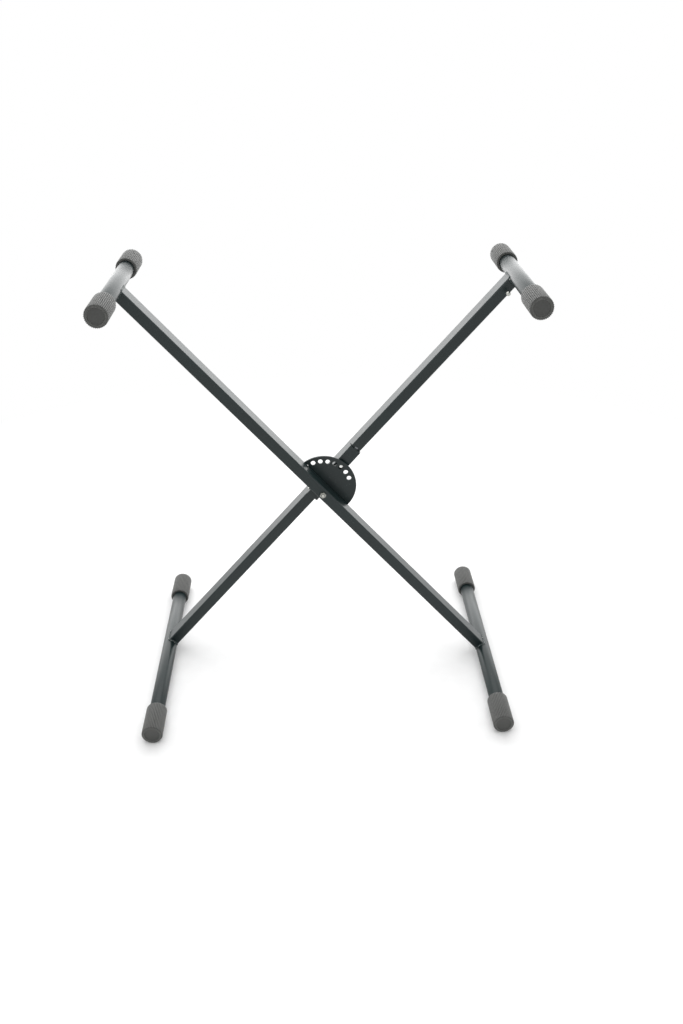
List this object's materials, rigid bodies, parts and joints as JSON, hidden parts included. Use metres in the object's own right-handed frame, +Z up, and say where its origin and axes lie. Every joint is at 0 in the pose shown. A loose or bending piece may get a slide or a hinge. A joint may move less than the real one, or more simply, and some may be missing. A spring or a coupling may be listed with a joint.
{
  "type": "folding keyboard stand",
  "caption": "Folding X-shaped keyboard stand with ribbed rubber end caps, an index plate and a squeeze lever with a lock pin.",
  "frame": {"origin": "on the floor, under the middle of the stand, halfway along the base tubes and midway between them", "axes": "+Z up, +X to the right across the player's front, +Y from front to back along the round tubes"},
  "size_m": [0.7118, 0.512, 0.7885],
  "materials": {
    "black_coat": "semi-gloss black powder coat on steel",
    "rubber": "matt moulded black rubber",
    "zinc_steel": "bright zinc plate",
    "spacer_plastic": "black nylon"
  },
  "bodies": {
    "front_frame": {"front_leg": "black_coat", "index_plate": "black_coat", "pivot_bolt": "zinc_steel", "pivot_nut": "zinc_steel", "pivot_washer": "zinc_steel", "pivot_spacer": "spacer_plastic", "front_pivot_bush": "zinc_steel", "left_support_tube": "black_coat", "left_support_front_cap": "rubber", "left_support_back_cap": "rubber", "right_base_tube": "black_coat", "right_base_front_cap": "rubber", "right_base_back_cap": "rubber"},
    "rear_frame": {"rear_leg": "black_coat", "rear_pivot_bush": "zinc_steel", "lever_rivet": "zinc_steel", "lever_spring": "zinc_steel", "spring_rivet": "zinc_steel", "leg_stud": "zinc_steel", "stud_nut": "zinc_steel", "right_support_tube": "black_coat", "right_support_front_cap": "rubber", "right_support_back_cap": "rubber", "left_base_tube": "black_coat", "left_base_front_cap": "rubber", "left_base_back_cap": "rubber"},
    "release_lever": {"lock_lever": "black_coat", "lock_pin": "zinc_steel"}
  },
  "joints": [
    {"name": "fold", "type": "hinge", "parent": "front_frame", "child": "rear_frame", "pos_m": [0, 0, 0.38467], "axis": [0, 1, 0], "range_deg": [-76.4, 30]},
    {"name": "lever", "type": "hinge", "parent": "rear_frame", "child": "release_lever", "pos_m": [-0.01449, 0.01475, 0.36812], "axis": [0.7524, 0, -0.6587], "range_deg": [0, 2.4]}
  ]
}
